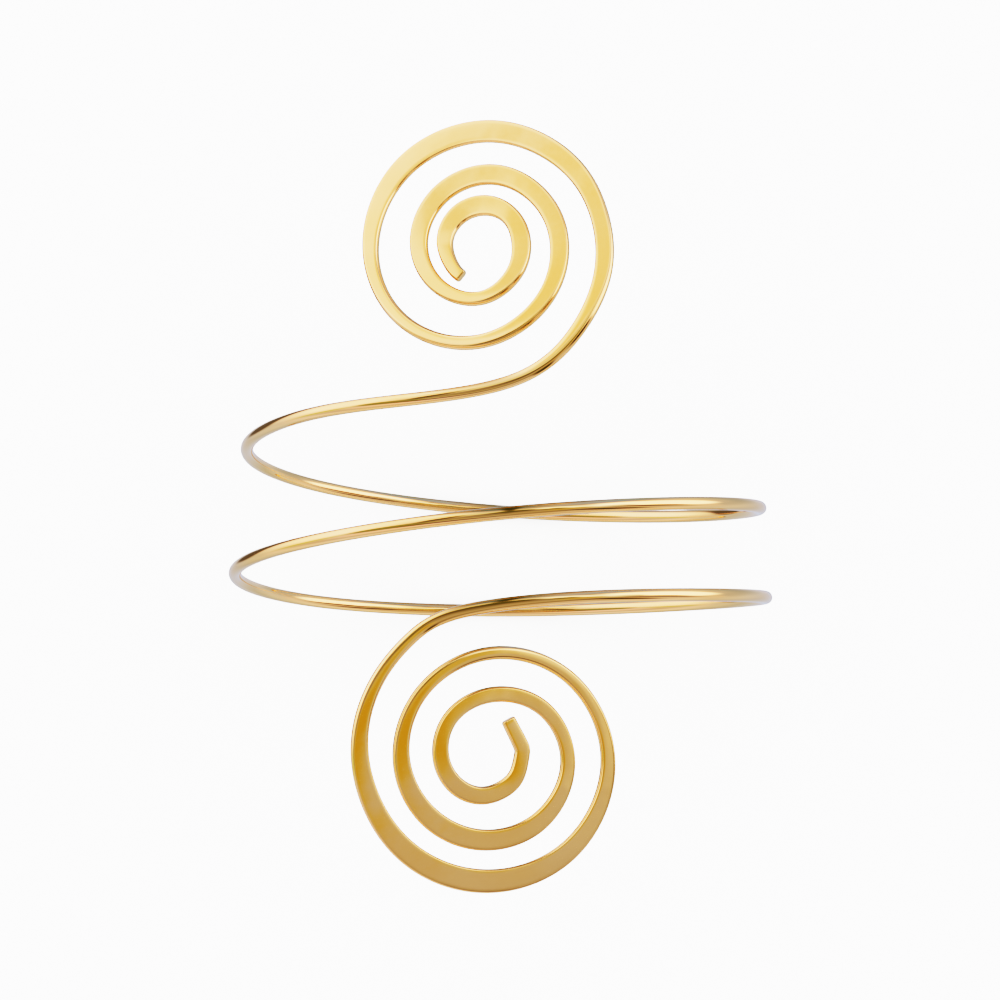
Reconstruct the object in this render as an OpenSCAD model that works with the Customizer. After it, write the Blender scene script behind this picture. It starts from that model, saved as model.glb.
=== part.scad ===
// Spiral cuff bangle for the upper arm, in millimetres.
//
// One length of round wire, so one solid. It starts at a blunt tip, makes three turns outwards in a
// spiral that is hammered flat, leaves the spiral as a round tail, goes twice round the arm as an
// open oval coil, and ends in a second flat spiral.
//
// It lies on the back of its coil, as it would on a table: +Z up, both spirals on top, the arm's
// axis along Y and the first spiral towards +Y. The origin is the middle of the box's bottom.

/* [Wire] */
// Diameter of the drawn wire
wire_d = 2; // [1.6:0.1:2.3]
// Width times thickness of the hammered flats, in square millimetres
flat_section = 3.7; // [3.2:0.1:4]
// Thickest that a hammered stretch is left
flat_thick_max = 1.45; // [1.2:0.05:1.5]
// Length over which each blunt tip is rounded
tip_round = 0.3; // [0.1:0.05:0.4]

/* [Coil] */
// Half of the oval's depth, from the arm's axis to the middle of the wire
coil_half_depth = 31; // [28:0.5:34]
// How far round the arm the oval's deepest point lies from the middle of its back, in degrees
coil_deepest_at = -2.45; // [-4:0.05:4]

/* [Spirals] */
// Height of the spirals' middles over the arm's axis
spiral_rise = 25; // [23:0.5:27]
// How far each spiral's face is turned sideways, in degrees
spiral_turn = 15; // [8:1:20]
// How far each spiral's far end is bent back towards the arm, in degrees
spiral_bend = 10; // [3:1:14]

/* [Smoothness] */
// Points round the wire
sides = 12; // [8:4:12]
// Rings between two guides of a spiral
spiral_rings = 6; // [3:1:6]
// Rings between two guides of the coil
coil_rings = 9; // [4:1:9]

/* [Hidden] */

// How square a hammered section is: 2 is an ellipse, and more is squarer
round_power = 2;
flat_power = 5;
// Share of the tip's width and thickness that is left at its very end
tip_end = 0.72;

// Middles of the two spirals, seen from above, with the arm's axis at x = 0
first_middle = [-2, 35.9];
second_middle = [-2.2, -42.5];

// Both spirals run from the tip outwards. Columns: direction from the spiral's middle in degrees,
// distance from there to the middle of the wire, width of the wire, and how far it is hammered,
// from 0 for round wire to 1 for flat.
first_spiral = [
    [ 240,  7.00, 2.1, 1.0],
    [ 225,  6.65, 2.2, 1.0],
    [ 180,  6.55, 2.6, 1.0],
    [ 135,  6.10, 3.5, 1.0],
    [  90,  5.20, 3.4, 1.0],
    [  45,  4.70, 2.8, 1.0],
    [   0,  5.05, 3.2, 1.0],
    [ -45,  7.25, 2.9, 1.0],
    [ -90, 10.00, 2.0, 0.8],
    [-135, 10.25, 2.5, 1.0],
    [-180, 10.60, 2.9, 1.0],
    [-225, 10.75, 3.4, 1.0],
    [-270, 10.35, 3.4, 1.0],
    [-315,  9.65, 3.1, 1.0],
    [-360, 10.95, 3.1, 1.0],
    [-405, 14.00, 2.8, 1.0],
    [-450, 16.90, 2.2, 0.6],
    [-495, 17.80, 2.1, 0.7],
    [-540, 18.15, 2.5, 1.0],
    [-585, 18.60, 3.9, 1.0],
    [-630, 17.45, 3.7, 1.0],
    [-675, 16.35, 3.4, 1.0],
    [-708, 17.05, 2.8, 1.0],
    [-738, 19.30, 3.0, 1.0],
    [-766, 21.15, 2.2, 0.6],
    [-792, 24.50, 2.0, 0.2]
];
second_spiral = [
    [  62,  6.80, 2.2, 1.0],
    [  17,  5.65, 2.5, 1.0],
    [  14,  5.65, 2.4, 1.0],
    [ -20,  5.35, 2.5, 1.0],
    [ -45,  5.20, 2.8, 1.0],
    [ -90,  5.30, 2.7, 1.0],
    [-135,  5.70, 2.9, 1.0],
    [-180,  6.65, 2.6, 1.0],
    [-225,  8.10, 2.3, 1.0],
    [-270,  9.40, 2.4, 1.0],
    [-315, 11.60, 2.5, 1.0],
    [-360, 12.85, 2.1, 1.0],
    [-405, 12.55, 3.1, 1.0],
    [-450, 11.75, 3.2, 1.0],
    [-495, 11.70, 3.4, 1.0],
    [-540, 12.65, 2.6, 1.0],
    [-585, 13.90, 2.0, 0.8],
    [-630, 15.65, 2.1, 0.6],
    [-675, 17.60, 2.0, 0.8],
    [-720, 19.05, 2.2, 1.0],
    [-765, 18.90, 3.3, 1.0],
    [-810, 17.75, 3.7, 1.0],
    [-855, 17.70, 3.5, 1.0],
    [-900, 18.80, 2.8, 1.0],
    [-932, 20.00, 2.1, 0.8],
    [-955, 20.95, 2.0, 0.6],
    [-972, 22.75, 2.0, 0.35]
];

// The coil from the first spiral's tail to the second's. Columns: angle round the arm in degrees,
// from the top towards -X, distance sideways from the arm's axis to the middle of the wire where
// the oval is widest, and place along the arm's axis.
coil = [
    [ 17, 39.6,  10.40],
    [ 45, 39.6,  10.05],
    [ 90, 39.5,   8.08],
    [135, 39.7,   5.60],
    [181, 40.0,   2.90],
    [225, 40.2,   0.55],
    [270, 40.1,  -1.48],
    [315, 40.6,  -4.00],
    [360, 40.8,  -6.85],
    [405, 40.9,  -9.90],
    [450, 41.0, -11.57],
    [495, 41.1, -13.15],
    [541, 41.1, -13.35],
    [585, 41.2, -13.40],
    [630, 41.1, -15.33],
    [675, 41.2, -17.90],
    [706, 41.3, -19.10]
];

function unit(v) = v / norm(v);
function reversed(list) = [for (i = [len(list) - 1:-1:0]) list[i]];

// A spline passes a little inside its guides where they turn, so guides on a circle stand out by
// this much. The gaps are the turns, in degrees, to the guides before and after.
function stand_out(gap_before, gap_after) = 6 / (4 + cos(gap_before) + cos(gap_after));
function gap(rows, i, j) = j < 0 || j >= len(rows) ? 0 : rows[i][0] - rows[j][0];
function swell(rows, i) = stand_out(gap(rows, i, i - 1), gap(rows, i, i + 1));

// A guide is one flat list: x, y, z, the direction that the wire's face looks in, its width, and
// how far it is hammered
function guide(point, face, width, hammered) = concat(point, face, [width, hammered]);

// Across, along and out of a spiral's plane; side is 1 for the first spiral and -1 for the second
function spiral_axes(side) =
    let (across = [cos(spiral_turn), 0, side * sin(spiral_turn)],
         along = [0, cos(spiral_bend), -side * sin(spiral_bend)],
         face = unit(cross(across, along)))
    [across, cross(face, across), face];

function spiral_guides(rows, middle, side) =
    let (axes = spiral_axes(side))
    [for (i = [0:len(rows) - 1])
        let (row = rows[i],
             distance = row[1] * (i == 0 ? 1 : swell(rows, i)),
             point = [middle.x, middle.y, spiral_rise]
                 + distance * (cos(row[0]) * axes[0] + sin(row[0]) * axes[1]))
        guide(point, axes[2], row[2], row[3])];

function coil_guides() =
    [for (i = [0:len(coil) - 1])
        let (angle = coil[i][0],
             out = swell(coil, i),
             x = -coil[i][1] * sin(angle),
             z = coil_half_depth * cos(angle - coil_deepest_at))
        guide([x * out, coil[i][2], z * out],
              unit([x / pow(coil[i][1], 2), 0, z / pow(coil_half_depth, 2)]), wire_d, 0)];

// Place and slope of a uniform cubic spline at share t of the way from its second guide to its third
function spline_at(a, b, c, d, t) =
    (pow(1 - t, 3) * a + (3 * pow(t, 3) - 6 * t * t + 4) * b
        + (-3 * pow(t, 3) + 3 * t * t + 3 * t + 1) * c + pow(t, 3) * d) / 6;
function slope_at(a, b, c, d, t) =
    (-pow(1 - t, 2) * a + (3 * t * t - 4 * t) * b + (-3 * t * t + 2 * t + 1) * c + t * t * d) / 2;

// The whole wire, from the first tip to the second
function path() =
    let (first = spiral_guides(first_spiral, first_middle, 1),
         turns = coil_guides(),
         second = reversed(spiral_guides(second_spiral, second_middle, -1)),
         guides = concat(first, turns, second),
         last = len(guides) - 1,
         ends = concat([2 * guides[0] - guides[1]], guides, [2 * guides[last] - guides[last - 1]]))
    [for (i = [0:last - 1])
        let (in_coil = i >= len(first) && i < len(first) + len(turns) - 1,
             steps = in_coil ? coil_rings : spiral_rings,
             stop = i == last - 1 ? steps : steps - 1)
        for (k = [0:stop])
            [spline_at(ends[i], ends[i + 1], ends[i + 2], ends[i + 3], k / steps),
             slope_at(ends[i], ends[i + 1], ends[i + 2], ends[i + 3], k / steps)]];

function mix(a, b, share) = a + (b - a) * share;
function thickness(width, hammered) =
    mix(wire_d, min(flat_thick_max, flat_section / width), hammered);

// Cosine and sine bent towards a rounded square
function squared(value, power) = sign(value) * pow(abs(value), 2 / power);

// One ring of points round the wire. scale shrinks it and shift moves it along the wire.
function ring(place, scale = 1, shift = 0) =
    let (here = place[0],
         forward = unit([place[1][0], place[1][1], place[1][2]]),
         looks = [here[3], here[4], here[5]],
         face = unit(looks - (looks * forward) * forward),
         side = cross(forward, face),
         middle = [here[0], here[1], here[2]] + shift * forward,
         width = here[6],
         thick = thickness(width, here[7]),
         power = mix(round_power, flat_power, here[7]))
    [for (k = [0:sides - 1])
        let (angle = 360 * k / sides)
        middle + scale * (side * squared(cos(angle), power) * width
            + face * squared(sin(angle), power) * thick) / 2];

function wire_rings() =
    let (places = path(), last = len(places) - 1)
    concat(
        [ring(places[0], tip_end, 0), ring(places[0], 1, tip_round)],
        [for (i = [1:last - 1]) ring(places[i])],
        [ring(places[last], 1, -tip_round), ring(places[last], tip_end, 0)]);

// The middle of the bottom of the box round all the points
function box_bottom(points) =
    let (x = [for (p = points) p.x], y = [for (p = points) p.y], z = [for (p = points) p.z])
    [(min(x) + max(x)) / 2, (min(y) + max(y)) / 2, min(z)];

module armlet_wire() {
    rings = wire_rings();
    points = [for (r = rings) for (p = r) p];
    last = len(rings) - 1;
    walls = [for (i = [0:last - 1]) for (k = [0:sides - 1])
        let (next = (k + 1) % sides, a = i * sides, b = a + sides)
        each [[a + k, a + next, b + next], [a + k, b + next, b + k]]];
    ends = [[for (k = [sides - 1:-1:0]) k], [for (k = [0:sides - 1]) last * sides + k]];
    color("#D9AE57")
        translate(-box_bottom(points))
            polyhedron(points = points, faces = concat(walls, ends), convexity = 12);
}

armlet_wire();
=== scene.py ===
# Spiral cuff bangle for the upper arm: one gold-plated wire, on a pale studio floor.

import math

import bmesh
import bpy
from bpy.props import (
    FloatProperty, FloatVectorProperty, IntProperty, PointerProperty, StringProperty)
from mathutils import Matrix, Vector


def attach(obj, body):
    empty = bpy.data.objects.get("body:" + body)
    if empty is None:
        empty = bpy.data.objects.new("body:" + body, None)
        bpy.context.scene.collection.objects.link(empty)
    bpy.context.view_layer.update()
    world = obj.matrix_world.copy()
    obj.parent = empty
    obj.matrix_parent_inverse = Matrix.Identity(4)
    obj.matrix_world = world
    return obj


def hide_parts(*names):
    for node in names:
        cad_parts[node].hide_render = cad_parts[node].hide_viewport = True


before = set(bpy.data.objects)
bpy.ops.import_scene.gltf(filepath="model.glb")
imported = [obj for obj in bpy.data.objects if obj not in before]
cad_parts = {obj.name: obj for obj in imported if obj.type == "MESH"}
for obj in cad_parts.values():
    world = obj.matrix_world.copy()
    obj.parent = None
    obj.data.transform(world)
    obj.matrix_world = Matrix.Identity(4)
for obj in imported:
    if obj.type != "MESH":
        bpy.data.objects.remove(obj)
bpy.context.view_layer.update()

bl_info = {
    "name": "Spiral cuff bangle",
    "version": (1, 0, 0),
    "blender": (4, 5, 0),
    "location": "View3D > Sidebar > Cuff bangle",
    "description": "Makes a cuff bangle with two flat spirals, and a studio to look at it in",
    "category": "Add Mesh",
}

# One millimetre in the scene's metres
MM = 0.001

# Both spirals run from the tip outwards. Columns: direction from the spiral's middle in degrees,
# distance from there to the middle of the wire in mm, width of the wire in mm, how far it is
# hammered, from 0 for round wire to 1 for flat, and how far its face leans outwards in degrees.
FIRST_SPIRAL = (
    (240, 7.00, 2.1, 1.0, 0),
    (225, 6.65, 2.2, 1.0, 1),
    (180, 6.55, 2.6, 1.0, -1),
    (135, 6.10, 3.5, 1.0, -2),
    (90, 5.20, 3.4, 1.0, -1),
    (45, 4.70, 2.8, 1.0, 0),
    (0, 5.05, 3.2, 1.0, 0),
    (-45, 7.25, 2.9, 1.0, 1),
    (-90, 10.00, 2.0, 0.8, 2),
    (-135, 10.25, 2.5, 1.0, 2),
    (-180, 10.60, 2.9, 1.0, 0),
    (-225, 10.75, 3.4, 1.0, -2),
    (-270, 10.35, 3.4, 1.0, -1),
    (-315, 9.65, 3.1, 1.0, -1),
    (-360, 10.95, 3.1, 1.0, -1),
    (-405, 14.00, 2.8, 1.0, 2),
    (-450, 16.90, 2.2, 0.6, 2),
    (-495, 17.80, 2.1, 0.7, 1),
    (-540, 18.15, 2.5, 1.0, 1),
    (-585, 18.60, 3.9, 1.0, 1),
    (-630, 17.45, 3.7, 1.0, 0),
    (-675, 16.35, 3.4, 1.0, -1),
    (-708, 17.05, 2.8, 1.0, 0),
    (-738, 19.30, 3.0, 1.0, 0),
    (-766, 21.15, 2.2, 0.6, 0),
    (-792, 24.50, 2.0, 0.2, 0),
)
SECOND_SPIRAL = (
    (62, 6.80, 2.2, 1.0, 0),
    (17, 5.65, 2.5, 1.0, 0),
    (14, 5.65, 2.4, 1.0, -1),
    (-20, 5.35, 2.5, 1.0, -2),
    (-45, 5.20, 2.8, 1.0, 0),
    (-90, 5.30, 2.7, 1.0, 0),
    (-135, 5.70, 2.9, 1.0, 3),
    (-180, 6.65, 2.6, 1.0, 3),
    (-225, 8.10, 2.3, 1.0, 0),
    (-270, 9.40, 2.4, 1.0, 0),
    (-315, 11.60, 2.5, 1.0, -2),
    (-360, 12.85, 2.1, 1.0, 0),
    (-405, 12.55, 3.1, 1.0, 1),
    (-450, 11.75, 3.2, 1.0, 0),
    (-495, 11.70, 3.4, 1.0, 0),
    (-540, 12.65, 2.6, 1.0, 3),
    (-585, 13.90, 2.0, 0.8, 2),
    (-630, 15.65, 2.1, 0.6, 0),
    (-675, 17.60, 2.0, 0.8, -2),
    (-720, 19.05, 2.2, 1.0, 0),
    (-765, 18.90, 3.3, 1.0, 1),
    (-810, 17.75, 3.7, 1.0, 1),
    (-855, 17.70, 3.5, 1.0, 0),
    (-900, 18.80, 2.8, 1.0, -1),
    (-932, 20.00, 2.1, 0.8, 3),
    (-955, 20.95, 2.0, 0.6, 0),
    (-972, 22.75, 2.0, 0.35, 0),
)
# The coil from the first spiral's tail to the second's. Columns: angle round the arm in degrees,
# from the top towards -X, distance sideways from the arm's axis to the middle of the wire where
# the oval is widest, and place along the arm's axis, both in mm.
COIL = (
    (17, 39.6, 10.40),
    (45, 39.6, 10.05),
    (90, 39.5, 8.08),
    (135, 39.7, 5.60),
    (181, 40.0, 2.90),
    (225, 40.2, 0.55),
    (270, 40.1, -1.48),
    (315, 40.6, -4.00),
    (360, 40.8, -6.85),
    (405, 40.9, -9.90),
    (450, 41.0, -11.57),
    (495, 41.1, -13.15),
    (541, 41.1, -13.35),
    (585, 41.2, -13.40),
    (630, 41.1, -15.33),
    (675, 41.2, -17.90),
    (706, 41.3, -19.10),
)
# Middles of the two spirals, seen from above, from the arm's axis, in mm
FIRST_MIDDLE = (-2, 35.9)
SECOND_MIDDLE = (-2.2, -42.5)
# How far round the arm the oval's deepest point lies from the middle of its back, in degrees
COIL_DEEPEST_AT = -2.45

# The studio round the cuff, by height over the horizon in degrees: colour and strength
STUDIO_WALLS = (
    (-90, "D0E0FF", 1.0),
    (-65, "D0E0FF", 0.9),
    (-45, "E0E8FF", 0.7),
    (-25, "F4F0FF", 0.9),
    (0, "FFE8F4", 0.85),
    (30, "FFE8F0", 0.75),
    (55, "FFF0F0", 0.55),
    (75, "FFF4E8", 0.35),
    (90, "FFF4D8", 0.15),
)
# What stands in the studio. Columns: compass direction from +Y towards +X and height over the
# horizon, half width and half height, all in degrees, softness of its edge, colour and strength.
STUDIO_LIGHTS = (
    # Cool floor and dark belt under the far lights, and light cards low on the near side
    (0, -65, 80, 35, 0.6, "D0DCFF", 1.0),
    (10, -33, 89, 17, 0.6, "D0E0FF", 0.6),
    (-172, 16, 50, 12, 0.5, "FFE8F0", 0.65),
    (-172, -14, 60, 10, 0.5, "FFE4F0", 1.2),
    (-146, 30, 20, 13, 0.6, "FFD0E0", 1.4),
    # The two big softboxes, and the cool gap between them
    (18, 10, 12, 42, 0.6, "A0C4FF", 0.75),
    (5, 8, 6, 42, 0.6, "B8D4FF", 0.3),
    (-52, 21, 42, 36, 0.45, "FFDCD4", 2.8),
    (78, 32, 32, 30, 0.2, "FFE0D8", 3.6),
    (-6, 14, 11, 44, 0.5, "B0DCFF", 0.3),
    # Cream, gold, tan and amber cards that the hammered faces mirror
    (-30, 68, 20, 8, 0.5, "FFF0D8", 1.1),
    (50, 69, 15, 8, 0.5, "FFE8E0", 2.5),
    (-42, 47, 13, 10, 0.4, "FFE0D0", 2.2),
    (-34, 49, 4.5, 5.5, 0.4, "FFD8B0", 1.5),
    (116, 52, 11, 8, 0.25, "FFF4F4", 0.55),
    (122, 64, 11, 6.5, 0.12, "FFE4A0", 0.6),
    (131, 62.5, 4, 4, 0.1, "FFD468", 0.54),
    (100, 52, 12, 8, 0.4, "FFF0E8", 1.2),
    # Stands, camera and black flags
    (160, 45, 20, 12, 0.4, "FFF0D8", 0.3),
    (-75, 66, 20, 5, 0.4, "F8FFB0", 0.12),
    (-4, 25, 2.5, 60, 0.4, "F0FFC0", 0.08),
    (-109, 14, 6, 18, 0.5, "F8FFB0", 0.7),
    (-118, 47, 19, 13, 0.3, "F0FFC0", 0.3),
    (-160, 45, 18, 8, 0.4, "FFF4D0", 0.15),
    (-150, 70, 14, 6, 0.5, "FFF4D0", 0.3),
    (143, 27, 7, 21, 0.35, "F8FFB0", 0.08),
    (113, 30, 9, 20, 0.4, "FFF0C0", 0.08),
    (88, 75, 10, 5, 0.4, "F8FFB0", 0.2),
    (5, 80, 8, 12, 0.4, "F8FFB0", 0.12),
    (-66, -32, 28, 15, 0.3, "F0F0FF", 0.15),
)


def linear(code):
    """The linear colour of an sRGB hex value, such as E8C170, with full opacity."""
    parts = [int(code[i:i + 2], 16) / 255 for i in (0, 2, 4)]
    return [p / 12.92 if p <= 0.04045 else ((p + 0.055) / 1.055) ** 2.4 for p in parts] + [1.0]


def add(tree, kind, inputs=None, **settings):
    """Adds a node with its settings, and fills its inputs with values or links."""
    node = tree.nodes.new(kind)
    for name, value in settings.items():
        setattr(node, name, value)
    for key, value in (inputs or {}).items():
        if isinstance(value, bpy.types.NodeSocket):
            tree.links.new(value, node.inputs[key])
        else:
            node.inputs[key].default_value = value
    return node


def new_material(name):
    """A new material and its tree, with no nodes in it yet."""
    material = bpy.data.materials.new(name)
    material.use_nodes = True
    material.node_tree.nodes.clear()
    return material, material.node_tree


def work_out(tree, values, rows):
    """Adds a chain of math nodes. Each row names a result, its kind, operation and operands."""
    for name, kind, operation, *operands in rows:
        # A vector is scaled by the number at a socket of its own
        keys = (0, "Scale") if operation == "SCALE" else range(len(operands))
        node = add(
            tree,
            "ShaderNodeMath" if kind == "number" else "ShaderNodeVectorMath",
            {key: values.get(o, o) if isinstance(o, str) else o for key, o in zip(keys, operands)},
            operation=operation,
        )
        scalar = kind == "number" or operation == "DOT_PRODUCT"
        values[name] = node.outputs["Value" if scalar else "Vector"]


class WireSettings(bpy.types.PropertyGroup):
    """Sizes of the wire and colour of its plating."""

    wire_diameter: FloatProperty(
        name="Wire diameter", description="Diameter of the drawn wire",
        default=2 * MM, min=1.6 * MM, max=2.3 * MM, precision=5, unit="LENGTH")
    flat_section: FloatProperty(
        name="Flat section", description="Width times thickness of the hammered flats",
        default=3.7 * MM * MM, min=3.2 * MM * MM, max=4 * MM * MM, precision=6, unit="AREA")
    flat_thickness: FloatProperty(
        name="Flat thickness", description="Thickest that a hammered stretch is left",
        default=1.45 * MM, min=1.2 * MM, max=1.5 * MM, precision=5, unit="LENGTH")
    corner: FloatProperty(
        name="Corner", description="Radius between a hammered face and its bulging side",
        default=0.12 * MM, min=0.05 * MM, max=0.3 * MM, precision=5, unit="LENGTH")
    side_angle: FloatProperty(
        name="Side angle", description="How far the bulging side leans where its corner begins",
        default=math.radians(45), min=math.radians(30), max=math.radians(70), subtype="ANGLE")
    crown: FloatProperty(
        name="Crown", description="How far the middle of a hammered face bulges",
        default=0.008 * MM, min=0.0, max=0.1 * MM, precision=6, unit="LENGTH")
    tip_rounding: FloatProperty(
        name="Tip rounding", description="Length over which each blunt tip is rounded",
        default=0.3 * MM, min=0.1 * MM, max=0.4 * MM, precision=5, unit="LENGTH")
    tip_end: FloatProperty(
        name="Tip end", description="Share of the tip's width that is left at its very end",
        default=0.72, min=0.5, max=0.95, subtype="FACTOR")
    coil_half_depth: FloatProperty(
        name="Coil half depth", description="From the arm's axis to the middle of the wire",
        default=31 * MM, min=28 * MM, max=34 * MM, precision=5, unit="LENGTH")
    spiral_rise: FloatProperty(
        name="Spiral rise", description="Height of the spirals' middles over the arm's axis",
        default=25 * MM, min=23 * MM, max=27 * MM, precision=5, unit="LENGTH")
    spiral_turn: FloatProperty(
        name="Spiral turn", description="How far each spiral's face is turned sideways",
        default=math.radians(15), min=math.radians(8), max=math.radians(20), subtype="ANGLE")
    spiral_bend: FloatProperty(
        name="Spiral bend", description="How far each spiral's far end is bent back",
        default=math.radians(10), min=math.radians(3), max=math.radians(14), subtype="ANGLE")
    hammer_depth: FloatProperty(
        name="Hammer depth", description="How far the hammered faces rise and fall",
        default=0.03 * MM, min=0.0, max=0.1 * MM, precision=6, unit="LENGTH")
    hammer_size: FloatProperty(
        name="Hammer size", description="Distance from one hammer mark to the next",
        default=7 * MM, min=2 * MM, max=20 * MM, precision=5, unit="LENGTH")
    hammer_roll: FloatProperty(
        name="Hammer roll", description="Most that a hammered face leans over sideways",
        default=math.radians(1), min=0.0, max=math.radians(10), subtype="ANGLE")
    hammer_seed: FloatProperty(
        name="Hammer seed", description="Another seed gives other hammer marks",
        default=3.0, min=0.0, max=1000.0)
    rings: IntProperty(
        name="Rings", description="Rings of points along the wire", default=2200, min=500, max=2400)
    sides: IntProperty(
        name="Sides", description="Points round the wire, in fours", default=40, min=16, max=40)
    tip_steps: IntProperty(
        name="Tip steps", description="Rings of points on each tip's rounding",
        default=5, min=2, max=12)
    arm_axis: FloatVectorProperty(
        name="Arm axis", description="Where the wire's tables start, on the arm's axis",
        default=(0.022 * MM, 3.505 * MM, 31.952 * MM), precision=6, subtype="TRANSLATION")
    plating_deep: StringProperty(
        name="Deeper plating", description="Gold where the plating is thick, as an sRGB hex value",
        default="F8C57F")
    plating_pale: StringProperty(
        name="Paler plating", description="Gold where the plating is thin, as an sRGB hex value",
        default="FACD8F")


class StageSettings(bpy.types.PropertyGroup):
    """Camera, floor and light."""

    floor_radius: FloatProperty(
        name="Floor radius", description="Radius of the pale floor",
        default=3.5, min=0.5, unit="LENGTH")
    floor_colour: StringProperty(
        name="Floor colour", description="Colour of the floor, as an sRGB hex value",
        default="F4F4F4")
    dome_radius: FloatProperty(
        name="Dome radius", description="Radius of the dome of studio lights",
        default=0.5, min=0.3, unit="LENGTH")
    background: FloatProperty(
        name="Background", description="Strength of the plain white light",
        default=6.0, min=0.0, max=20.0)
    camera_distance: FloatProperty(
        name="Camera distance", description="From the camera to the arm's axis",
        default=0.6, min=0.3, max=2.0, unit="LENGTH")
    camera_lean: FloatProperty(
        name="Camera lean", description="How far the camera leans from straight above",
        default=math.radians(8.9), min=0.0, max=math.radians(60), subtype="ANGLE")
    view_width: FloatProperty(
        name="View width", description="Width of the picture at the arm's axis",
        default=0.155, min=0.1, max=0.5, unit="LENGTH")


def stand_out(before, after):
    """How far guides on a circle stand out, for the turns in degrees to their neighbours."""
    return 6 / (4 + math.cos(math.radians(before)) + math.cos(math.radians(after)))


def swell(rows, i):
    """How far guide i stands out, because a spline passes a little inside its guides."""
    before = rows[i][0] - rows[i - 1][0] if i > 0 else 0
    after = rows[i][0] - rows[i + 1][0] if i < len(rows) - 1 else 0
    return stand_out(before, after)


def spiral_guides(settings, rows, middle, side):
    """Guides of a spiral; side is 1 for the first spiral and -1 for the second."""
    turn, bend = settings.spiral_turn, settings.spiral_bend
    across = Vector((math.cos(turn), 0, side * math.sin(turn)))
    along = Vector((0, math.cos(bend), -side * math.sin(bend)))
    face = across.cross(along).normalized()
    along = face.cross(across)
    centre = Vector((middle[0] * MM, middle[1] * MM, settings.spiral_rise))
    guides = []
    for i, (direction, distance, width, hammered, lean) in enumerate(rows):
        reach = distance * MM * (1 if i == 0 else swell(rows, i))
        angle = math.radians(direction)
        outwards = math.cos(angle) * across + math.sin(angle) * along
        looks = (face + math.tan(math.radians(lean)) * outwards).normalized()
        guides.append((centre + reach * outwards, looks, width * MM, hammered))
    return guides


def coil_guides(settings):
    """Guides of the oval coil round the arm."""
    half_depth = settings.coil_half_depth
    guides = []
    for i, (angle, half_width, along) in enumerate(COIL):
        out = swell(COIL, i)
        x = -half_width * MM * math.sin(math.radians(angle))
        z = half_depth * math.cos(math.radians(angle - COIL_DEEPEST_AT))
        face = Vector((x / (half_width * MM) ** 2, 0, z / half_depth ** 2)).normalized()
        guides.append((Vector((x * out, along * MM, z * out)), face, settings.wire_diameter, 0))
    return guides


def guide_mesh(settings):
    """A chain of points along the wire, with its face, width and hammering on each point."""
    guides = spiral_guides(settings, FIRST_SPIRAL, FIRST_MIDDLE, 1)
    guides += coil_guides(settings)
    guides += reversed(spiral_guides(settings, SECOND_SPIRAL, SECOND_MIDDLE, -1))
    # One more guide past each tip makes the spline start and stop at the tips
    for end, index, inner in ((0, 0, 1), (len(guides) + 1, -1, -2)):
        extra = tuple(2 * a - b for a, b in zip(guides[index], guides[inner]))
        guides.insert(end, extra)
    mesh = bpy.data.meshes.new("wire_guides")
    mesh.from_pydata([g[0] for g in guides], [(i, i + 1) for i in range(len(guides) - 1)], [])
    for name, kind, key, values in (
        ("face", "FLOAT_VECTOR", "vector", [c for g in guides for c in g[1]]),
        ("width", "FLOAT", "value", [g[2] for g in guides]),
        ("hammered", "FLOAT", "value", [g[3] for g in guides]),
    ):
        mesh.attributes.new(name, kind, "POINT").data.foreach_set(key, values)
    return mesh


# Settings that fill the inputs of the wire's tree, and the types of their sockets
SWEEP_INPUTS = (
    ("rings", "NodeSocketInt"),
    ("sides", "NodeSocketInt"),
    ("wire_diameter", "NodeSocketFloat"),
    ("flat_section", "NodeSocketFloat"),
    ("flat_thickness", "NodeSocketFloat"),
    ("corner", "NodeSocketFloat"),
    ("side_angle", "NodeSocketFloat"),
    ("crown", "NodeSocketFloat"),
    ("tip_rounding", "NodeSocketFloat"),
    ("tip_end", "NodeSocketFloat"),
    ("tip_steps", "NodeSocketInt"),
    ("hammer_depth", "NodeSocketFloat"),
    ("hammer_size", "NodeSocketFloat"),
    ("hammer_roll", "NodeSocketFloat"),
    ("hammer_seed", "NodeSocketFloat"),
)
# Points of the spline from one guide to the next
SPLINE_STEPS = 64
# What the hammer does to a face: name, size of its marks in hammer sizes, and step of its seed
HAMMER_MARKS = (
    ("lean", 2.2, 0),
    ("lift", 1.0, 17),
    ("thin", 0.8, 41),
)
# Shares of a quarter of the section that its bulging side and its corner take
SIDE_SHARE = 0.4
CORNER_SHARE = 0.3
# Points closer than this are merged, which closes the seam along the wire and both tips
MERGE_DISTANCE = 0.001 * MM


def label(name):
    """The name of a setting as an input of a tree shows it."""
    return name.replace("_", " ").capitalize()


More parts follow.
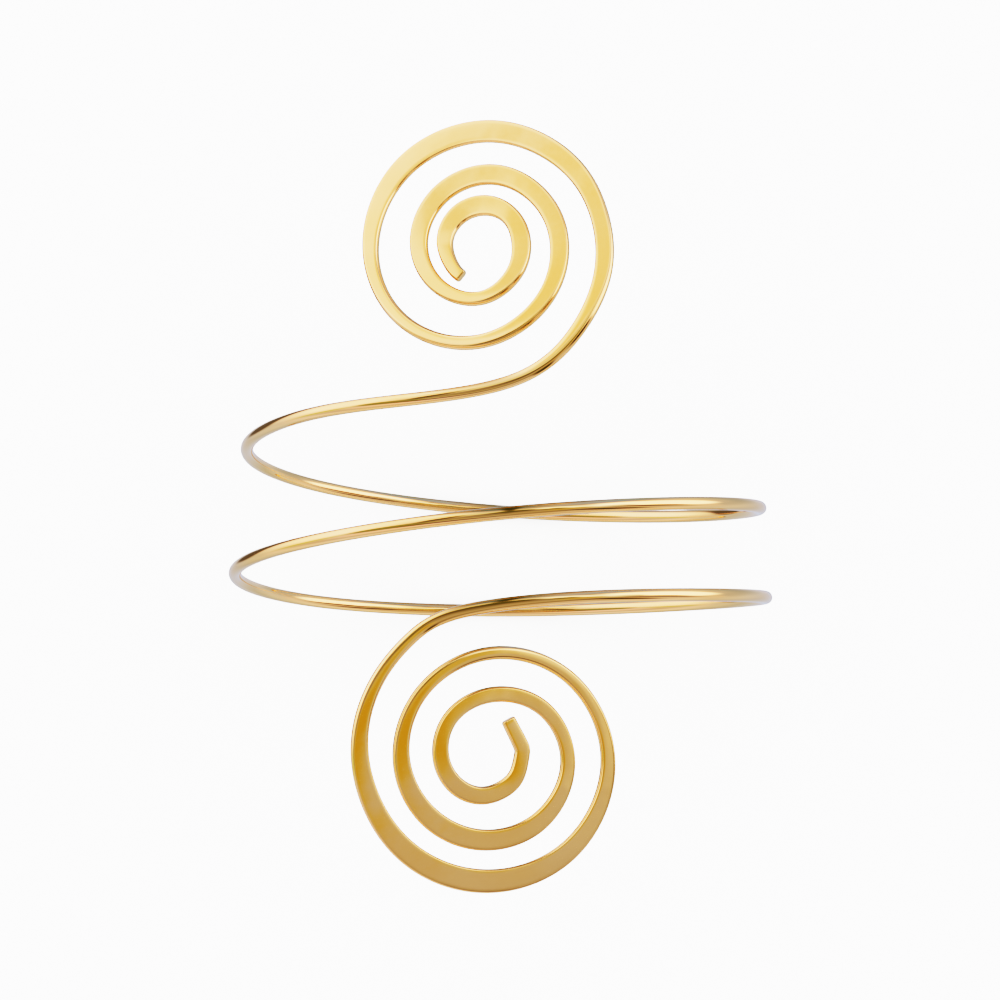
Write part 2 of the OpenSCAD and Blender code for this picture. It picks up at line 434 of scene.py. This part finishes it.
def sweep_tree():
    """Sweeps a section that changes from round to hammered flat along a chain of guides."""
    tree = bpy.data.node_groups.new("Hammered wire", "GeometryNodeTree")
    sockets = tree.interface
    sockets.new_socket("Geometry", in_out="INPUT", socket_type="NodeSocketGeometry")
    for name, kind in SWEEP_INPUTS:
        sockets.new_socket(label(name), in_out="INPUT", socket_type=kind)
    sockets.new_socket("Material", in_out="INPUT", socket_type="NodeSocketMaterial")
    sockets.new_socket("Geometry", in_out="OUTPUT", socket_type="NodeSocketGeometry")
    given = add(tree, "NodeGroupInput").outputs
    # Every value that the tree is given or works out, by name
    v = {name: given[label(name)] for name, kind in SWEEP_INPUTS}

    # The guides carry a uniform cubic spline
    chain = add(tree, "GeometryNodeMeshToCurve", {"Mesh": given["Geometry"]})
    spline = add(
        tree, "GeometryNodeCurveSplineType", {"Curve": chain.outputs[0]}, spline_type="NURBS")
    unclamped = add(
        tree, "GeometryNodeStoreNamedAttribute",
        {"Geometry": spline.outputs[0], "Name": "knots_mode", "Value": 0},
        data_type="INT8", domain="CURVE")
    fine = add(
        tree, "GeometryNodeSetSplineResolution",
        {0: unclamped.outputs[0], "Resolution": SPLINE_STEPS})
    curve = fine.outputs[0]
    v["length"] = add(tree, "GeometryNodeCurveLength", {0: curve}).outputs[0]

    # A grid of rings by sides, with the rounded tips' rings and a pole at both ends
    v["index"] = add(tree, "GeometryNodeInputIndex").outputs[0]
    work_out(tree, v, (
        ("columns", "number", "ADD", "sides", 1),
        ("tip_rings", "number", "ADD", "tip_steps", 1),
        ("rows", "number", "MULTIPLY_ADD", "tip_rings", 2, "rings"),
        ("row", "number", "DIVIDE", "index", "columns"),
        ("row", "number", "FLOOR", "row"),
        ("column", "number", "MODULO", "index", "columns"),
        # Place among the rings of the wire itself, and steps past its first or last ring
        ("body_row", "number", "SUBTRACT", "row", "tip_rings"),
        ("last_ring", "number", "SUBTRACT", "rings", 1),
        ("before", "number", "MULTIPLY", "body_row", -1),
        ("before", "number", "MAXIMUM", "before", 0),
        ("after", "number", "SUBTRACT", "body_row", "last_ring"),
        ("after", "number", "MAXIMUM", "after", 0),
        ("past", "number", "ADD", "before", "after"),
        ("way", "number", "SUBTRACT", "after", "before"),
        ("way", "number", "SIGN", "way"),
        ("ring", "number", "MAXIMUM", "body_row", 0),
        ("ring", "number", "MINIMUM", "ring", "last_ring"),
        ("share", "number", "DIVIDE", "ring", "last_ring"),
        # Distance along the wire
        ("straight", "number", "MULTIPLY_ADD", "tip_rounding", -2, "length"),
        ("distance", "number", "MULTIPLY_ADD", "straight", "share", "tip_rounding"),
        # The tip's rings follow a quarter of an ellipse, and its pole shrinks to a point
        ("tip_angle", "number", "DIVIDE", "past", "tip_steps"),
        ("tip_angle", "number", "MINIMUM", "tip_angle", 1),
        ("tip_angle", "number", "MULTIPLY", "tip_angle", math.pi / 2),
        ("tip_sine", "number", "SINE", "tip_angle"),
        ("tip_cosine", "number", "COSINE", "tip_angle"),
        ("tip_loss", "number", "SUBTRACT", 1, "tip_end"),
        ("tip_inward", "number", "SUBTRACT", "tip_cosine", 1),
        ("scale", "number", "MULTIPLY_ADD", "tip_loss", "tip_inward", 1),
        ("open", "number", "LESS_THAN", "past", "tip_rings"),
        ("scale", "number", "MULTIPLY", "scale", "open"),
        ("shift", "number", "MULTIPLY", "tip_rounding", "tip_sine"),
        ("shift", "number", "MULTIPLY", "shift", "way"),
    ))
    grid = add(tree, "GeometryNodeMeshGrid", {"Vertices X": v["rows"], "Vertices Y": v["columns"]})

    # What the spline carries at each ring
    for name, kind, attribute in (
        ("width", "FLOAT", "width"),
        ("hammered", "FLOAT", "hammered"),
        ("looks", "FLOAT_VECTOR", "face"),
    ):
        carried = add(tree, "GeometryNodeInputNamedAttribute", {"Name": attribute}, data_type=kind)
        sample = add(
            tree, "GeometryNodeSampleCurve",
            {"Curves": curve, "Value": carried.outputs["Attribute"], "Length": v["distance"]},
            mode="LENGTH", data_type=kind)
        v[name] = sample.outputs["Value"]
        v["place"] = sample.outputs["Position"]
        v["forward"] = sample.outputs["Tangent"]

    # The hammer leans the faces a little to either side, and lifts and thins them
    for name, size, seed in HAMMER_MARKS:
        work_out(tree, v, (
            ("size", "number", "MULTIPLY", "hammer_size", size),
            ("fineness", "number", "DIVIDE", 1, "size"),
            ("seed", "number", "ADD", "hammer_seed", seed),
        ))
        noise = add(
            tree, "ShaderNodeTexNoise",
            {"Vector": v["place"], "W": v["seed"], "Scale": v["fineness"], "Detail": 0.0},
            noise_dimensions="4D")
        v[name] = noise.outputs[0]
        # Noise from 0 to 1 becomes noise from -1 to 1, and fades out towards round wire
        work_out(tree, v, (
            (name, "number", "SUBTRACT", name, 0.5),
            (name, "number", "MULTIPLY", name, 2),
            (name, "number", "MULTIPLY", name, "hammered"),
        ))

    # The face is square to the wire, and leans over as the hammer left it
    work_out(tree, v, (
        ("along", "vector", "DOT_PRODUCT", "looks", "forward"),
        ("forward_part", "vector", "SCALE", "forward", "along"),
        ("face", "vector", "SUBTRACT", "looks", "forward_part"),
        ("face", "vector", "NORMALIZE", "face"),
        ("angle", "number", "MULTIPLY", "lean", "hammer_roll"),
    ))
    rolled = add(
        tree, "ShaderNodeVectorRotate",
        {"Vector": v["face"], "Axis": v["forward"], "Angle": v["angle"]},
        rotation_type="AXIS_ANGLE")
    v["face"] = rolled.outputs[0]

    work_out(tree, v, (
        ("side", "vector", "CROSS_PRODUCT", "forward", "face"),
        # Half sizes of the section
        ("flat", "number", "DIVIDE", "flat_section", "width"),
        ("flat", "number", "MINIMUM", "flat", "flat_thickness"),
        ("thinned", "number", "SUBTRACT", "flat", "wire_diameter"),
        ("thickness", "number", "MULTIPLY_ADD", "thinned", "hammered", "wire_diameter"),
        ("dent", "number", "MULTIPLY", "thin", "hammer_depth"),
        ("thickness", "number", "ADD", "thickness", "dent"),
        ("half_width", "number", "DIVIDE", "width", 2),
        ("half_thick", "number", "DIVIDE", "thickness", 2),
        # Radius of the bulging side
        ("side_sine", "number", "SINE", "side_angle"),
        ("side_cosine", "number", "COSINE", "side_angle"),
        ("radius", "number", "SUBTRACT", 1, "side_sine"),
        ("radius", "number", "MULTIPLY", "radius", "corner"),
        ("radius", "number", "SUBTRACT", "half_thick", "radius"),
        ("radius", "number", "DIVIDE", "radius", "side_sine"),
        # Place round the section, folded into one quarter from the wall (0) to the face (1)
        ("turn", "number", "DIVIDE", "column", "sides"),
        ("quarter", "number", "MULTIPLY", "turn", 4),
        ("quarter", "number", "PINGPONG", "quarter", 1),
        ("turn", "number", "MULTIPLY", "turn", math.tau),
        ("x_sign", "number", "COSINE", "turn"),
        ("x_sign", "number", "SIGN", "x_sign"),
        ("y_sign", "number", "SINE", "turn"),
        ("y_sign", "number", "SIGN", "y_sign"),
        # Round wire is an ellipse
        ("round_angle", "number", "MULTIPLY", "quarter", math.pi / 2),
        ("round_x", "number", "COSINE", "round_angle"),
        ("round_x", "number", "MULTIPLY", "round_x", "half_width"),
        ("round_y", "number", "SINE", "round_angle"),
        ("round_y", "number", "MULTIPLY", "round_y", "half_thick"),
    ))
    # Hammered wire is a bulging side, a tight corner and half a face
    for name, start, stop, low, high in (
        ("bend", 0.0, SIDE_SHARE, 0.0, v["side_angle"]),
        ("fold", SIDE_SHARE, SIDE_SHARE + CORNER_SHARE, v["side_angle"], math.pi / 2),
        ("across", SIDE_SHARE + CORNER_SHARE, 1.0, 1.0, 0.0),
    ):
        mapped = add(tree, "ShaderNodeMapRange", {
            "Value": v["quarter"], "From Min": start, "From Max": stop,
            "To Min": low, "To Max": high})
        v[name] = mapped.outputs[0]
    work_out(tree, v, (
        ("bend_x", "number", "COSINE", "bend"),
        ("bend_x", "number", "SUBTRACT", "bend_x", 1),
        ("bend_y", "number", "SINE", "bend"),
        ("fold_x", "number", "COSINE", "fold"),
        ("fold_x", "number", "SUBTRACT", "fold_x", "side_cosine"),
        ("fold_y", "number", "SINE", "fold"),
        ("fold_y", "number", "SUBTRACT", "fold_y", "side_sine"),
        ("flat_x", "number", "MULTIPLY_ADD", "bend_x", "radius", "half_width"),
        ("flat_x", "number", "MULTIPLY_ADD", "fold_x", "corner", "flat_x"),
        ("flat_x", "number", "MULTIPLY", "flat_x", "across"),
        ("flat_y", "number", "MULTIPLY", "bend_y", "radius"),
        ("flat_y", "number", "MULTIPLY_ADD", "fold_y", "corner", "flat_y"),
        # The face bulges by a parabola
        ("bulge", "number", "MULTIPLY", "across", "across"),
        ("bulge", "number", "SUBTRACT", 1, "bulge"),
        ("flat_y", "number", "MULTIPLY_ADD", "bulge", "crown", "flat_y"),
        ("more_x", "number", "SUBTRACT", "flat_x", "round_x"),
        ("more_y", "number", "SUBTRACT", "flat_y", "round_y"),
        ("x", "number", "MULTIPLY_ADD", "more_x", "hammered", "round_x"),
        ("y", "number", "MULTIPLY_ADD", "more_y", "hammered", "round_y"),
        ("x", "number", "MULTIPLY", "x", "x_sign"),
        ("y", "number", "MULTIPLY", "y", "y_sign"),
        ("x", "number", "MULTIPLY", "x", "scale"),
        ("y", "number", "MULTIPLY", "y", "scale"),
        # Each point's place: across the wire, out of its face, and onwards into a tip's rounding
        ("raised", "number", "MULTIPLY_ADD", "lift", "hammer_depth", "y"),
        ("sideways", "vector", "SCALE", "side", "x"),
        ("out", "vector", "SCALE", "face", "raised"),
        ("onwards", "vector", "SCALE", "forward", "shift"),
        ("point", "vector", "ADD", "place", "sideways"),
        ("point", "vector", "ADD", "point", "out"),
        ("point", "vector", "ADD", "point", "onwards"),
    ))

    # Each point's place in the wire when it was still straight, and its hammering, stay on the mesh
    # for its material
    straight = add(tree, "ShaderNodeCombineXYZ", {"X": v["distance"], "Y": v["x"], "Z": v["y"]})
    placed = add(
        tree, "GeometryNodeStoreNamedAttribute",
        {"Geometry": grid.outputs["Mesh"], "Name": "straight_wire", "Value": straight.outputs[0]},
        data_type="FLOAT_VECTOR", domain="POINT")
    marked = add(
        tree, "GeometryNodeStoreNamedAttribute",
        {"Geometry": placed.outputs[0], "Name": "hammered", "Value": v["hammered"]},
        data_type="FLOAT", domain="POINT")
    swept = add(
        tree, "GeometryNodeSetPosition", {"Geometry": marked.outputs[0], "Position": v["point"]})
    closed = add(
        tree, "GeometryNodeMergeByDistance",
        {"Geometry": swept.outputs[0], "Distance": MERGE_DISTANCE})
    smooth = add(
        tree, "GeometryNodeSetShadeSmooth", {"Geometry": closed.outputs[0], "Shade Smooth": True})
    real = add(tree, "GeometryNodeRealizeInstances", {"Geometry": smooth.outputs[0]})
    painted = add(
        tree, "GeometryNodeSetMaterial",
        {"Geometry": real.outputs[0], "Material": given["Material"]})
    add(tree, "NodeGroupOutput", {"Geometry": painted.outputs[0]})
    return tree


# Thicker and thinner plating comes in clouds of this size
CLOUD_SIZE = 12 * MM
# Lines from the drawing die. Real ones are 0.03 mm apart: they are drawn as coarse as it takes to
# see them.
LINE_LENGTH = 6 * MM
LINE_GAP = 0.15 * MM
LINE_HEIGHT = 0.0006 * MM
# Soft dimples that the planishing hammer leaves
DIMPLE_SIZE = 1.8 * MM
DIMPLE_HEIGHT = 0.008 * MM
# Patches of haze, from polishing by hand
HAZE_SIZE = 0.7 * MM


def gold_plate(settings):
    """Gold-plated brass wire, drawn through a die, hammered at both ends, plated and polished.

    The eye sees sharp warm reflections stretched along the wire, faint drawing lines on its round
    turns, and a softer and slightly cloudy gloss on the hammered faces.
    """
    material, tree = new_material("polished_gold_plate")
    place = add(tree, "ShaderNodeTexCoord").outputs["Object"]
    straight = add(tree, "ShaderNodeAttribute", attribute_name="straight_wire").outputs["Vector"]
    hammered = add(tree, "ShaderNodeAttribute", attribute_name="hammered").outputs["Fac"]

    # A little deeper gold where the plating is thick. Most of the noise lies between 0.3 and 0.7,
    # and the two colours are the mix's sockets 6 and 7.
    clouds = add(
        tree, "ShaderNodeTexNoise", {"Vector": place, "Scale": 1 / CLOUD_SIZE, "Detail": 1.0})
    share = add(tree, "ShaderNodeMapRange", {
        "Value": clouds.outputs[0], "From Min": 0.3, "From Max": 0.7})
    tone = add(
        tree, "ShaderNodeMix",
        {"Factor": share.outputs[0], 6: linear(settings.plating_deep),
         7: linear(settings.plating_pale)},
        data_type="RGBA")

    stretched = add(
        tree, "ShaderNodeVectorMath",
        {0: straight, 1: (1 / LINE_LENGTH, 1 / LINE_GAP, 1 / LINE_GAP)}, operation="MULTIPLY")
    lines = add(
        tree, "ShaderNodeTexNoise",
        {"Vector": stretched.outputs[0], "Scale": 1.0, "Detail": 1.0})
    dimples = add(
        tree, "ShaderNodeTexNoise", {"Vector": place, "Scale": 1 / DIMPLE_SIZE, "Detail": 0.0})
    haze = add(
        tree, "ShaderNodeTexNoise", {"Vector": place, "Scale": 1 / HAZE_SIZE, "Detail": 2.0})

    values = {
        "hammered": hammered, "lines": lines.outputs[0], "dimples": dimples.outputs[0],
        "haze": haze.outputs[0],
    }
    work_out(tree, values, (
        ("round", "number", "SUBTRACT", 1, "hammered"),
        # The hammer smooths the lines away, and leaves its dimples
        ("line_height", "number", "MULTIPLY", "lines", LINE_HEIGHT),
        ("line_height", "number", "MULTIPLY", "line_height", "round"),
        ("dimple_height", "number", "MULTIPLY", "dimples", DIMPLE_HEIGHT),
        ("height", "number", "MULTIPLY_ADD", "dimple_height", "hammered", "line_height"),
        # Roughness of 0.04 to 0.06 where the wire is round, and 0.07 to 0.11 where it is hammered
        ("gloss", "number", "MULTIPLY_ADD", "haze", 0.04, 0.03),
        ("dull", "number", "MULTIPLY_ADD", "haze", 0.06, 0.01),
        ("roughness", "number", "MULTIPLY_ADD", "dull", "hammered", "gloss"),
    ))
    relief = add(
        tree, "ShaderNodeBump", {"Height": values["height"], "Distance": 1.0, "Strength": 1.0})
    metal = add(tree, "ShaderNodeBsdfPrincipled", {
        "Base Color": tone.outputs[2], "Metallic": 1.0, "Roughness": values["roughness"],
        "Normal": relief.outputs[0]})
    add(tree, "ShaderNodeOutputMaterial", {"Surface": metal.outputs[0]})
    return material


def make_wire(settings):
    """Makes the finished wire as one plain mesh."""
    guides = bpy.data.objects.new("guides", guide_mesh(settings))
    bpy.context.scene.collection.objects.link(guides)
    tree = sweep_tree()
    sweep = guides.modifiers.new("Hammered wire", "NODES")
    sweep.node_group = tree
    identifiers = {s.name: s.identifier for s in tree.interface.items_tree if s.in_out == "INPUT"}
    for name, kind in SWEEP_INPUTS:
        sweep[identifiers[label(name)]] = getattr(settings, name)
    sweep[identifiers["Material"]] = gold_plate(settings)
    evaluated = guides.evaluated_get(bpy.context.evaluated_depsgraph_get())
    mesh = bpy.data.meshes.new_from_object(evaluated)
    guides.modifiers.remove(sweep)
    bpy.data.objects.remove(guides)
    mesh.name = "gold_wire"
    mesh.vertices.foreach_set("co", [
        c + settings.arm_axis[i] for vertex in mesh.vertices for i, c in enumerate(vertex.co)])
    mesh.update()
    piece = bpy.data.objects.new("gold_wire", mesh)
    bpy.context.scene.collection.objects.link(piece)
    return piece


class CUFF_OT_wire(bpy.types.Operator):
    """Makes the hammered and coiled gold wire"""

    bl_idname = "cuff.wire"
    bl_label = "Gold wire"

    def execute(self, context):
        piece = make_wire(context.scene.cuff_wire)
        if len(piece.data.polygons) == 0:
            raise RuntimeError("the wire came out empty")
        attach(piece, "root")
        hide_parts("armlet_wire")
        return {"FINISHED"}


# Corners of the round floor, and the studio dome's segments round and up
FLOOR_CORNERS = 64
DOME_ROUND = 240
DOME_UP = 120
# Width of the camera's sensor in mm, and how far it sees in metres
SENSOR_WIDTH = 36
VIEW_END = 20


def floor_material(settings):
    """Matt white card: pale, with no gloss."""
    material, tree = new_material("matt_white_card")
    card = add(tree, "ShaderNodeBsdfPrincipled", {
        "Base Color": linear(settings.floor_colour), "Roughness": 1.0, "Specular IOR Level": 0.0})
    add(tree, "ShaderNodeOutputMaterial", {"Surface": card.outputs[0]})
    return material


def compass(direction, height):
    """The unit vector towards a compass direction from +Y to +X and a height, both in degrees."""
    a, h = math.radians(direction), math.radians(height)
    return Vector((math.sin(a) * math.cos(h), math.cos(a) * math.cos(h), math.sin(h)))


def glow(code, strength):
    """A light's colour, as a linear vector."""
    return strength * Vector(linear(code)[:3])


def studio_colours(directions):
    """The light from each direction of the studio, as linear colours."""
    walls = [(height, glow(code, strength)) for height, code, strength in STUDIO_WALLS]
    lights = []
    for direction, height, wide, high, soft, code, strength in STUDIO_LIGHTS:
        ahead = compass(direction, height)
        level = compass(direction + 90, 0)
        right = level / math.sin(math.radians(wide))
        up = level.cross(ahead) / math.sin(math.radians(high))
        lights.append((ahead, right, up, soft, glow(code, strength)))
    for sight in directions:
        height = math.degrees(math.asin(max(-1.0, min(1.0, sight.z))))
        for (low, under), (high, over) in zip(walls, walls[1:]):
            if height <= high:
                break
        colour = under.lerp(over, (height - low) / (high - low))
        for ahead, right, up, soft, light in lights:
            if sight.dot(ahead) > 0:
                reach = math.hypot(sight.dot(right), sight.dot(up))
                share = max(0.0, min(1.0, (1 + soft - reach) / (2 * soft)))
                colour = colour.lerp(light, share * share * (3 - 2 * share))
        yield colour


def studio_dome(settings, centre):
    """A dome of soft light round the cuff, which only polished metal mirrors."""
    shape = bmesh.new()
    bmesh.ops.create_uvsphere(shape, u_segments=DOME_ROUND, v_segments=DOME_UP, radius=1.0)
    sights = [vertex.co.normalized() for vertex in shape.verts]
    mesh = bpy.data.meshes.new("studio_dome")
    shape.to_mesh(mesh)
    shape.free()
    light = mesh.color_attributes.new("light", "FLOAT_COLOR", "POINT")
    light.data.foreach_set(
        "color", [c for colour in studio_colours(sights) for c in (*colour, 1.0)])
    mesh.vertices.foreach_set("co", [
        centre[i] + settings.dome_radius * sight[i] for sight in sights for i in range(3)])
    mesh.update()
    material, tree = new_material("studio_light")
    material.cycles.emission_sampling = "NONE"
    colour = add(tree, "ShaderNodeAttribute", attribute_name="light")
    shine = add(tree, "ShaderNodeEmission", {"Color": colour.outputs["Color"], "Strength": 1.0})
    add(tree, "ShaderNodeOutputMaterial", {"Surface": shine.outputs[0]})
    mesh.materials.append(material)
    dome = bpy.data.objects.new("studio_dome", mesh)
    # It is seen in reflections alone
    for ray in ("camera", "diffuse", "transmission", "volume_scatter", "shadow"):
        setattr(dome, "visible_" + ray, False)
    return dome


def white_world(settings):
    """Plain soft white light from all round."""
    world = bpy.data.worlds.new("white_room")
    world.use_nodes = True
    world.cycles.sampling_method = "NONE"
    tree = world.node_tree
    tree.nodes.clear()
    plain = add(
        tree, "ShaderNodeBackground",
        {"Color": linear("FFFFFF"), "Strength": settings.background})
    add(tree, "ShaderNodeOutputWorld", {"Surface": plain.outputs[0]})
    return world


class CUFF_OT_stage(bpy.types.Operator):
    """Makes the pale floor, the soft light and the camera"""

    bl_idname = "cuff.stage"
    bl_label = "Studio"

    def execute(self, context):
        scene = context.scene
        settings = scene.cuff_stage
        mesh = bpy.data.meshes.new("floor")
        angles = [math.tau * i / FLOOR_CORNERS for i in range(FLOOR_CORNERS)]
        mesh.from_pydata(
            [(settings.floor_radius * math.cos(angle), settings.floor_radius * math.sin(angle), 0)
             for angle in angles],
            [], [list(range(FLOOR_CORNERS))])
        mesh.materials.append(floor_material(settings))
        floor = bpy.data.objects.new("floor", mesh)
        # The wire mirrors the studio's softboxes instead of the floor
        floor.visible_glossy = False
        scene.collection.objects.link(floor)

        dome = studio_dome(settings, scene.cuff_wire.arm_axis)
        scene.collection.objects.link(dome)
        scene.world = white_world(settings)
        scene.view_settings.view_transform = "Filmic"
        scene.view_settings.look = "Very High Contrast"

        data = bpy.data.cameras.new("camera")
        data.sensor_width = SENSOR_WIDTH
        data.lens = SENSOR_WIDTH * settings.camera_distance / settings.view_width
        data.clip_end = VIEW_END
        camera = bpy.data.objects.new("camera", data)
        scene.collection.objects.link(camera)
        lean = settings.camera_lean
        back = Vector((0, -math.sin(lean), math.cos(lean)))
        camera.location = Vector(scene.cuff_wire.arm_axis) + settings.camera_distance * back
        camera.rotation_euler = (lean, 0, 0)
        scene.camera = camera
        return {"FINISHED"}


class CUFF_PT_panel(bpy.types.Panel):
    """Lists the pieces and their sizes."""

    bl_idname = "CUFF_PT_panel"
    bl_label = "Cuff bangle"
    bl_space_type = "VIEW_3D"
    bl_region_type = "UI"
    bl_category = "Cuff bangle"

    def draw(self, context):
        for settings, operator in (
            (context.scene.cuff_wire, CUFF_OT_wire),
            (context.scene.cuff_stage, CUFF_OT_stage),
        ):
            box = self.layout.box()
            for name in settings.__annotations__:
                box.prop(settings, name)
            box.operator(operator.bl_idname)


CLASSES = (WireSettings, StageSettings, CUFF_OT_wire, CUFF_OT_stage, CUFF_PT_panel)


def register():
    for cls in CLASSES:
        bpy.utils.register_class(cls)
    bpy.types.Scene.cuff_wire = PointerProperty(type=WireSettings)
    bpy.types.Scene.cuff_stage = PointerProperty(type=StageSettings)


def unregister():
    del bpy.types.Scene.cuff_stage
    del bpy.types.Scene.cuff_wire
    for cls in reversed(CLASSES):
        bpy.utils.unregister_class(cls)


def main():
    register()
    bpy.ops.cuff.wire()
    bpy.ops.cuff.stage()


if __name__ == "__main__":
    main()
